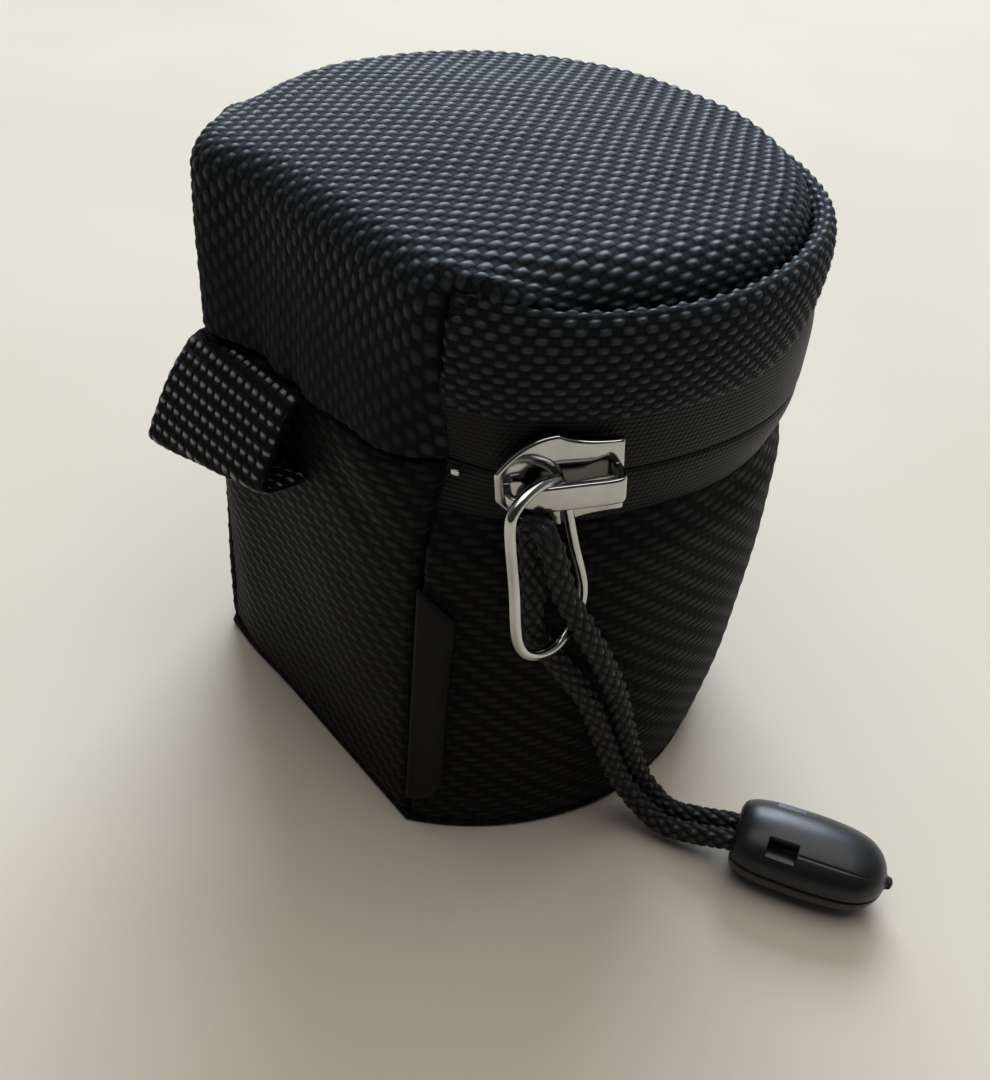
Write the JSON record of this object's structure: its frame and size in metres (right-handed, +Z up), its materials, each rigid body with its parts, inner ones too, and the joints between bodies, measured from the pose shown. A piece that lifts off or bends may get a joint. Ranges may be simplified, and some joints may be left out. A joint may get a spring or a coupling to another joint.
{
  "type": "padded lens pouch",
  "caption": "Small padded pouch with a round front and flat back, a deep zipped lid folding at the back, a webbing belt loop and a corded zip pull.",
  "frame": {"origin": "under the middle of the pouch and its belt loop, on the floor", "axes": "+Z up; the round front faces -Y, the back with the belt loop faces +Y; the zip pull hangs on the -X side"},
  "size_m": [0.1182, 0.0881, 0.0898],
  "materials": {
    "coarse_cloth": "coarse plain-woven nylon with a slight sheen",
    "twill_cloth": "fine ribbed twill, matt",
    "webbing": "ribbed webbing",
    "foam": "soft open foam",
    "lining": "smooth fine lining cloth",
    "zip_tape": "smooth ribbed zip tape",
    "chrome": "bright plated zinc",
    "cord": "braided cord",
    "cord_end_plastic": "satin moulded plastic"
  },
  "bodies": {
    "pouch_body": {"bottom_panel": "twill_cloth", "front_wrap": "twill_cloth", "lower_back_panel": "twill_cloth", "front_foam": "foam", "back_foam": "foam", "bottom_foam": "foam", "body_lining": "lining", "bottom_binding": "lining", "near_seam_tape": "lining", "far_seam_tape": "lining", "lower_zip_tape": "zip_tape", "lower_zip_coil": "zip_tape", "near_zip_stop": "chrome", "far_zip_stop": "chrome", "belt_loop": "webbing", "side_tab": "webbing"},
    "lid": {"lid_cover": "coarse_cloth", "lid_side_band": "coarse_cloth", "lid_pad": "foam", "lid_band_foam": "foam", "lid_back_foam": "foam", "lid_lining": "lining", "upper_zip_tape": "zip_tape", "upper_zip_coil": "zip_tape"},
    "zip_slider": {"slider_body": "chrome", "slider_crown": "chrome"},
    "zip_pull": {"pull_bail": "chrome", "pull_cord": "cord", "cord_knot": "cord", "cord_end_upper": "cord_end_plastic", "cord_end_lower": "cord_end_plastic"}
  },
  "joints": [
    {"name": "lid_hinge", "type": "hinge", "parent": "pouch_body", "child": "lid", "pos_m": [0, 0.03295, 0.0623], "axis": [-1, 0, 0], "range_deg": [0, 100], "deforming": ["upper_zip_tape", "upper_zip_coil"]},
    {"name": "slider_travel", "type": "hinge", "parent": "pouch_body", "child": "zip_slider", "pos_m": [0, -0.00225, 0.0623], "axis": [0, 0, 1], "range_deg": [0, 238]},
    {"name": "pull_swing", "type": "hinge", "parent": "zip_slider", "child": "zip_pull", "pos_m": [-0.03757, 0.02258, 0.0623], "axis": [0.4817, 0.869, -0.1132], "range_deg": [0, 90]}
  ]
}
